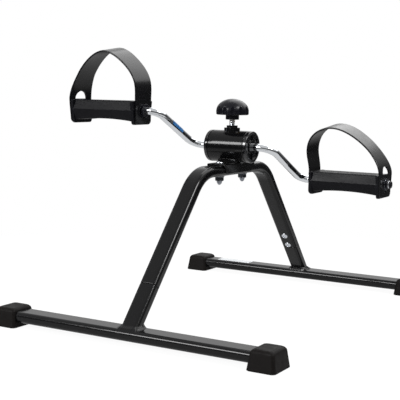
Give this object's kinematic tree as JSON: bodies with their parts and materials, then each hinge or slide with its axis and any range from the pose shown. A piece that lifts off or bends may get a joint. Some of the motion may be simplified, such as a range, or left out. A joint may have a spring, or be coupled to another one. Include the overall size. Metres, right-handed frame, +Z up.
{
  "type": "pedal exerciser",
  "caption": "Free-standing pedal exerciser: two floor rails, an arch, a braked bent-rod crank with a tension knob, and strapped pedals.",
  "frame": {"origin": "on the floor, midway between the two rails and under the middle of the hub", "axes": "+Z up, X along the rails and the crank's axis, +Y from the front rail towards the rear rail"},
  "size_m": [0.384, 0.504, 0.3442],
  "materials": {
    "frame_paint": "black gloss powder coat",
    "inner_steel": "plain steel",
    "foot_rubber": "matt black rubber",
    "zinc_steel": "bright zinc plate",
    "chrome_steel": "bright chrome plate",
    "cap_plastic": "moulded black plastic",
    "knob_plastic": "moulded black plastic",
    "pedal_plastic": "moulded black plastic",
    "strap_plastic": "flexible black plastic",
    "nylon": "natural nylon",
    "insert_brass": "turned brass",
    "label_film": "pale printed film without text",
    "sticker_film": "plain blue film"
  },
  "bodies": {
    "frame": {"front_rail": "frame_paint", "front_left_foot": "foot_rubber", "front_right_foot": "foot_rubber", "front_leg_stub": "frame_paint", "front_leg_insert": "inner_steel", "front_leg_screws": "zinc_steel", "rear_rail": "frame_paint", "rear_left_foot": "foot_rubber", "rear_right_foot": "foot_rubber", "rear_leg_stub": "frame_paint", "rear_leg_insert": "inner_steel", "rear_leg_screws": "zinc_steel", "arch_tube": "frame_paint", "hub_saddle": "frame_paint", "hub_cradle": "frame_paint", "saddle_bolts": "zinc_steel", "saddle_washers": "zinc_steel", "acorn_nuts": "zinc_steel", "hub_shell": "frame_paint", "left_hub_cap": "cap_plastic", "right_hub_cap": "cap_plastic", "bearing_block": "nylon", "thrust_washers": "inner_steel", "tension_boss": "frame_paint", "rail_label": "label_film"},
    "crank": {"crank_rod": "chrome_steel", "shaft_rings": "zinc_steel", "crank_sticker": "sticker_film", "left_axle_washers": "zinc_steel", "left_stop_ring": "cap_plastic", "left_axle_cap": "cap_plastic", "right_axle_washers": "zinc_steel", "right_stop_ring": "cap_plastic", "right_axle_cap": "cap_plastic"},
    "left_pedal": {"left_tread": "pedal_plastic", "left_strap": "strap_plastic", "left_pedal_bushes": "nylon"},
    "right_pedal": {"right_tread": "pedal_plastic", "right_strap": "strap_plastic", "right_pedal_bushes": "nylon"},
    "brake": {"brake_block": "nylon", "pressure_plate": "inner_steel"},
    "tension_handle": {"tension_screw": "chrome_steel", "knob_insert": "insert_brass", "tension_knob": "knob_plastic"}
  },
  "joints": [
    {"name": "crank_turn", "type": "hinge", "parent": "frame", "child": "crank", "pos_m": [0, 0, 0.2173], "axis": [1, 0, 0], "continuous": true},
    {"name": "left_pedal_turn", "type": "hinge", "parent": "crank", "child": "left_pedal", "pos_m": [-0.135, -0.08476, 0.26237], "axis": [1, 0, 0], "continuous": true},
    {"name": "right_pedal_turn", "type": "hinge", "parent": "crank", "child": "right_pedal", "pos_m": [0.135, 0.08476, 0.17223], "axis": [1, 0, 0], "continuous": true},
    {"name": "brake_slide", "type": "slide", "parent": "frame", "child": "brake", "axis": [0, 0, 1], "range_m": [-0.00017, 0.0024]},
    {"name": "knob_turn", "type": "hinge", "parent": "brake", "child": "tension_handle", "pos_m": [0, 0, 0.25], "axis": [0, 0, 1], "range_deg": [-50, 720]}
  ],
  "couplings": [
    {"joint": "knob_turn", "follows": "brake_slide", "rad_per_m": 5026.5}
  ]
}
